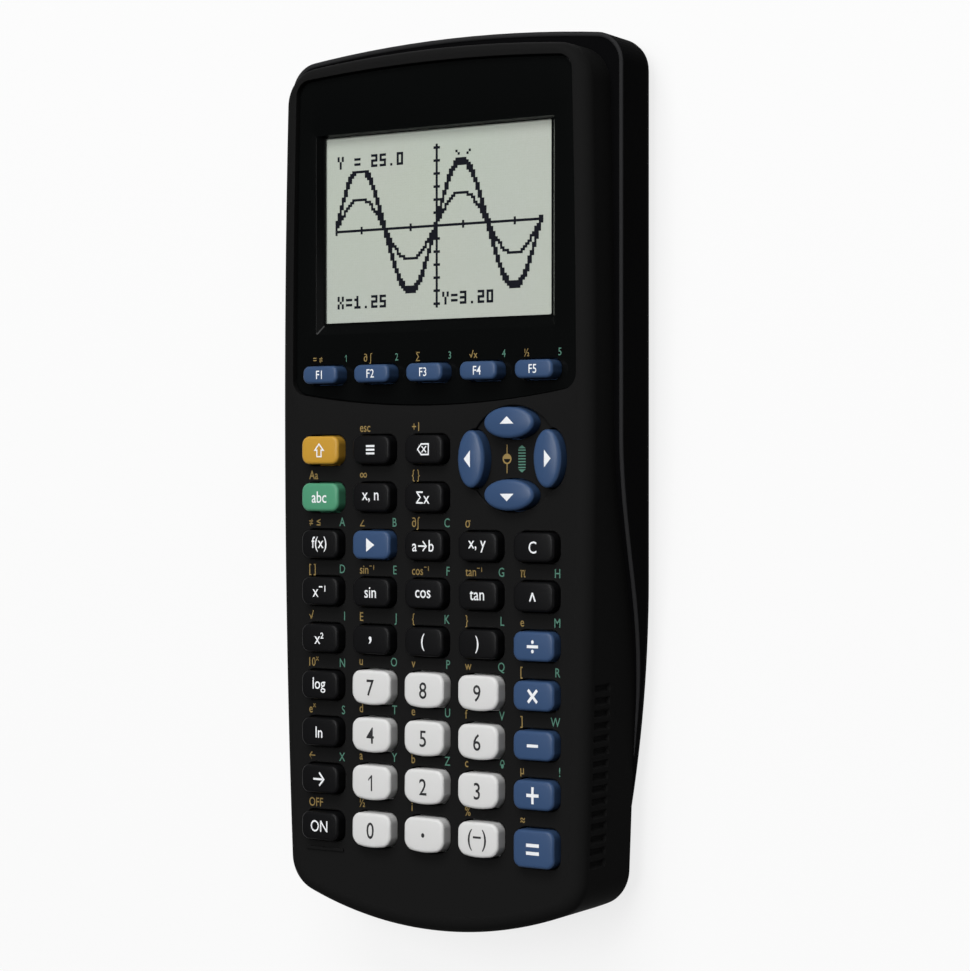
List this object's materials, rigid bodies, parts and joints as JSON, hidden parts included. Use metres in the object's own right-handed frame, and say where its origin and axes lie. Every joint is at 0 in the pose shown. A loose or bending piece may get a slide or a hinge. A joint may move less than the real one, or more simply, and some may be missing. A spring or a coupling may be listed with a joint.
{
  "type": "graphing calculator",
  "caption": "Handheld graphing calculator: black case with a swept parting line, glossy display panel, pressable keys, arrow cluster, battery cover and cells, board and keypad mat.",
  "frame": {"origin": "Middle of the bounding box, on the surface that the feet stand on.", "axes": "+X to the right as the keys are read, +Y along the body toward the display, +Z out of the face."},
  "size_m": [0.0814, 0.1844, 0.0255],
  "materials": {
    "case_front": "satin, fine grain",
    "case_rear": "satin",
    "panel": "gloss",
    "window": "clear plastic",
    "lcd": "grey-green display",
    "board": "solder mask",
    "mat": "matt silicone",
    "cell": "satin",
    "screw": "black zinc",
    "key_blue": "satin",
    "key_black": "satin",
    "key_light": "satin",
    "key_gold": "satin",
    "key_green": "satin"
  },
  "bodies": {
    "case": {"front_case": "case_front", "rear_case": "case_rear", "display_bezel": "panel", "display_window": "window", "lcd_module": "lcd", "circuit_board": "board", "keypad_mat": "mat", "batteries": "cell", "case_screws": "screw"},
    "cover": {"battery_cover": "case_rear"},
    "press_f1": {"key_f1": "key_blue"},
    "press_f2": {"key_f2": "key_blue"},
    "press_f3": {"key_f3": "key_blue"},
    "press_f4": {"key_f4": "key_blue"},
    "press_f5": {"key_f5": "key_blue"},
    "press_up": {"key_up": "key_blue"},
    "press_down": {"key_down": "key_blue"},
    "press_left": {"key_left": "key_blue"},
    "press_right": {"key_right": "key_blue"},
    "press_second": {"key_second": "key_gold"},
    "press_mode": {"key_mode": "key_black"},
    "press_delete": {"key_delete": "key_black"},
    "press_alpha": {"key_alpha": "key_green"},
    "press_variable": {"key_variable": "key_black"},
    "press_lists": {"key_lists": "key_black"},
    "press_math": {"key_math": "key_black"},
    "press_apps": {"key_apps": "key_blue"},
    "press_program": {"key_program": "key_black"},
    "press_vars": {"key_vars": "key_black"},
    "press_clear": {"key_clear": "key_black"},
    "press_reciprocal": {"key_reciprocal": "key_black"},
    "press_sin": {"key_sin": "key_black"},
    "press_cos": {"key_cos": "key_black"},
    "press_tan": {"key_tan": "key_black"},
    "press_power": {"key_power": "key_black"},
    "press_square": {"key_square": "key_black"},
    "press_comma": {"key_comma": "key_black"},
    "press_open_bracket": {"key_open_bracket": "key_black"},
    "press_close_bracket": {"key_close_bracket": "key_black"},
    "press_divide": {"key_divide": "key_blue"},
    "press_log": {"key_log": "key_black"},
    "press_7": {"key_7": "key_light"},
    "press_8": {"key_8": "key_light"},
    "press_9": {"key_9": "key_light"},
    "press_multiply": {"key_multiply": "key_blue"},
    "press_ln": {"key_ln": "key_black"},
    "press_4": {"key_4": "key_light"},
    "press_5": {"key_5": "key_light"},
    "press_6": {"key_6": "key_light"},
    "press_minus": {"key_minus": "key_blue"},
    "press_store": {"key_store": "key_black"},
    "press_1": {"key_1": "key_light"},
    "press_2": {"key_2": "key_light"},
    "press_3": {"key_3": "key_light"},
    "press_plus": {"key_plus": "key_blue"},
    "press_on": {"key_on": "key_black"},
    "press_0": {"key_0": "key_light"},
    "press_point": {"key_point": "key_light"},
    "press_negate": {"key_negate": "key_light"},
    "press_enter": {"key_enter": "key_blue"}
  },
  "joints": [
    {"name": "cover_hinge", "type": "hinge", "parent": "case", "child": "cover", "pos_m": [0, 0.0076, 0.0009], "axis": [-1, 0, 0], "range_deg": [0, 100]},
    {"name": "press_f1_travel", "type": "slide", "parent": "case", "child": "press_f1", "axis": [0, 0, -1], "range_m": [0, 0.0012], "stiffness_N_per_m": 150},
    {"name": "press_f2_travel", "type": "slide", "parent": "case", "child": "press_f2", "axis": [0, 0, -1], "range_m": [0, 0.0012], "stiffness_N_per_m": 150},
    {"name": "press_f3_travel", "type": "slide", "parent": "case", "child": "press_f3", "axis": [0, 0, -1], "range_m": [0, 0.0012], "stiffness_N_per_m": 150},
    {"name": "press_f4_travel", "type": "slide", "parent": "case", "child": "press_f4", "axis": [0, 0, -1], "range_m": [0, 0.0012], "stiffness_N_per_m": 150},
    {"name": "press_f5_travel", "type": "slide", "parent": "case", "child": "press_f5", "axis": [0, 0, -1], "range_m": [0, 0.0012], "stiffness_N_per_m": 150},
    {"name": "press_up_travel", "type": "slide", "parent": "case", "child": "press_up", "axis": [0, 0, -1], "range_m": [0, 0.0012], "stiffness_N_per_m": 150},
    {"name": "press_down_travel", "type": "slide", "parent": "case", "child": "press_down", "axis": [0, 0, -1], "range_m": [0, 0.0012], "stiffness_N_per_m": 150},
    {"name": "press_left_travel", "type": "slide", "parent": "case", "child": "press_left", "axis": [0, 0, -1], "range_m": [0, 0.0012], "stiffness_N_per_m": 150},
    {"name": "press_right_travel", "type": "slide", "parent": "case", "child": "press_right", "axis": [0, 0, -1], "range_m": [0, 0.0012], "stiffness_N_per_m": 150},
    {"name": "press_second_travel", "type": "slide", "parent": "case", "child": "press_second", "axis": [0, 0, -1], "range_m": [0, 0.0012], "stiffness_N_per_m": 150},
    {"name": "press_mode_travel", "type": "slide", "parent": "case", "child": "press_mode", "axis": [0, 0, -1], "range_m": [0, 0.0012], "stiffness_N_per_m": 150},
    {"name": "press_delete_travel", "type": "slide", "parent": "case", "child": "press_delete", "axis": [0, 0, -1], "range_m": [0, 0.0012], "stiffness_N_per_m": 150},
    {"name": "press_alpha_travel", "type": "slide", "parent": "case", "child": "press_alpha", "axis": [0, 0, -1], "range_m": [0, 0.0012], "stiffness_N_per_m": 150},
    {"name": "press_variable_travel", "type": "slide", "parent": "case", "child": "press_variable", "axis": [0, 0, -1], "range_m": [0, 0.0012], "stiffness_N_per_m": 150},
    {"name": "press_lists_travel", "type": "slide", "parent": "case", "child": "press_lists", "axis": [0, 0, -1], "range_m": [0, 0.0012], "stiffness_N_per_m": 150},
    {"name": "press_math_travel", "type": "slide", "parent": "case", "child": "press_math", "axis": [0, 0, -1], "range_m": [0, 0.0012], "stiffness_N_per_m": 150},
    {"name": "press_apps_travel", "type": "slide", "parent": "case", "child": "press_apps", "axis": [0, 0, -1], "range_m": [0, 0.0012], "stiffness_N_per_m": 150},
    {"name": "press_program_travel", "type": "slide", "parent": "case", "child": "press_program", "axis": [0, 0, -1], "range_m": [0, 0.0012], "stiffness_N_per_m": 150},
    {"name": "press_vars_travel", "type": "slide", "parent": "case", "child": "press_vars", "axis": [0, 0, -1], "range_m": [0, 0.0012], "stiffness_N_per_m": 150},
    {"name": "press_clear_travel", "type": "slide", "parent": "case", "child": "press_clear", "axis": [0, 0, -1], "range_m": [0, 0.0012], "stiffness_N_per_m": 150},
    {"name": "press_reciprocal_travel", "type": "slide", "parent": "case", "child": "press_reciprocal", "axis": [0, 0, -1], "range_m": [0, 0.0012], "stiffness_N_per_m": 150},
    {"name": "press_sin_travel", "type": "slide", "parent": "case", "child": "press_sin", "axis": [0, 0, -1], "range_m": [0, 0.0012], "stiffness_N_per_m": 150},
    {"name": "press_cos_travel", "type": "slide", "parent": "case", "child": "press_cos", "axis": [0, 0, -1], "range_m": [0, 0.0012], "stiffness_N_per_m": 150},
    {"name": "press_tan_travel", "type": "slide", "parent": "case", "child": "press_tan", "axis": [0, 0, -1], "range_m": [0, 0.0012], "stiffness_N_per_m": 150},
    {"name": "press_power_travel", "type": "slide", "parent": "case", "child": "press_power", "axis": [0, 0, -1], "range_m": [0, 0.0012], "stiffness_N_per_m": 150},
    {"name": "press_square_travel", "type": "slide", "parent": "case", "child": "press_square", "axis": [0, 0, -1], "range_m": [0, 0.0012], "stiffness_N_per_m": 150},
    {"name": "press_comma_travel", "type": "slide", "parent": "case", "child": "press_comma", "axis": [0, 0, -1], "range_m": [0, 0.0012], "stiffness_N_per_m": 150},
    {"name": "press_open_bracket_travel", "type": "slide", "parent": "case", "child": "press_open_bracket", "axis": [0, 0, -1], "range_m": [0, 0.0012], "stiffness_N_per_m": 150},
    {"name": "press_close_bracket_travel", "type": "slide", "parent": "case", "child": "press_close_bracket", "axis": [0, 0, -1], "range_m": [0, 0.0012], "stiffness_N_per_m": 150},
    {"name": "press_divide_travel", "type": "slide", "parent": "case", "child": "press_divide", "axis": [0, 0, -1], "range_m": [0, 0.0012], "stiffness_N_per_m": 150},
    {"name": "press_log_travel", "type": "slide", "parent": "case", "child": "press_log", "axis": [0, 0, -1], "range_m": [0, 0.0012], "stiffness_N_per_m": 150},
    {"name": "press_7_travel", "type": "slide", "parent": "case", "child": "press_7", "axis": [0, 0, -1], "range_m": [0, 0.0012], "stiffness_N_per_m": 150},
    {"name": "press_8_travel", "type": "slide", "parent": "case", "child": "press_8", "axis": [0, 0, -1], "range_m": [0, 0.0012], "stiffness_N_per_m": 150},
    {"name": "press_9_travel", "type": "slide", "parent": "case", "child": "press_9", "axis": [0, 0, -1], "range_m": [0, 0.0012], "stiffness_N_per_m": 150},
    {"name": "press_multiply_travel", "type": "slide", "parent": "case", "child": "press_multiply", "axis": [0, 0, -1], "range_m": [0, 0.0012], "stiffness_N_per_m": 150},
    {"name": "press_ln_travel", "type": "slide", "parent": "case", "child": "press_ln", "axis": [0, 0, -1], "range_m": [0, 0.0012], "stiffness_N_per_m": 150},
    {"name": "press_4_travel", "type": "slide", "parent": "case", "child": "press_4", "axis": [0, 0, -1], "range_m": [0, 0.0012], "stiffness_N_per_m": 150},
    {"name": "press_5_travel", "type": "slide", "parent": "case", "child": "press_5", "axis": [0, 0, -1], "range_m": [0, 0.0012], "stiffness_N_per_m": 150},
    {"name": "press_6_travel", "type": "slide", "parent": "case", "child": "press_6", "axis": [0, 0, -1], "range_m": [0, 0.0012], "stiffness_N_per_m": 150},
    {"name": "press_minus_travel", "type": "slide", "parent": "case", "child": "press_minus", "axis": [0, 0, -1], "range_m": [0, 0.0012], "stiffness_N_per_m": 150},
    {"name": "press_store_travel", "type": "slide", "parent": "case", "child": "press_store", "axis": [0, 0, -1], "range_m": [0, 0.0012], "stiffness_N_per_m": 150},
    {"name": "press_1_travel", "type": "slide", "parent": "case", "child": "press_1", "axis": [0, 0, -1], "range_m": [0, 0.0012], "stiffness_N_per_m": 150},
    {"name": "press_2_travel", "type": "slide", "parent": "case", "child": "press_2", "axis": [0, 0, -1], "range_m": [0, 0.0012], "stiffness_N_per_m": 150},
    {"name": "press_3_travel", "type": "slide", "parent": "case", "child": "press_3", "axis": [0, 0, -1], "range_m": [0, 0.0012], "stiffness_N_per_m": 150},
    {"name": "press_plus_travel", "type": "slide", "parent": "case", "child": "press_plus", "axis": [0, 0, -1], "range_m": [0, 0.0012], "stiffness_N_per_m": 150},
    {"name": "press_on_travel", "type": "slide", "parent": "case", "child": "press_on", "axis": [0, 0, -1], "range_m": [0, 0.0012], "stiffness_N_per_m": 150},
    {"name": "press_0_travel", "type": "slide", "parent": "case", "child": "press_0", "axis": [0, 0, -1], "range_m": [0, 0.0012], "stiffness_N_per_m": 150},
    {"name": "press_point_travel", "type": "slide", "parent": "case", "child": "press_point", "axis": [0, 0, -1], "range_m": [0, 0.0012], "stiffness_N_per_m": 150},
    {"name": "press_negate_travel", "type": "slide", "parent": "case", "child": "press_negate", "axis": [0, 0, -1], "range_m": [0, 0.0012], "stiffness_N_per_m": 150},
    {"name": "press_enter_travel", "type": "slide", "parent": "case", "child": "press_enter", "axis": [0, 0, -1], "range_m": [0, 0.0012], "stiffness_N_per_m": 150}
  ]
}
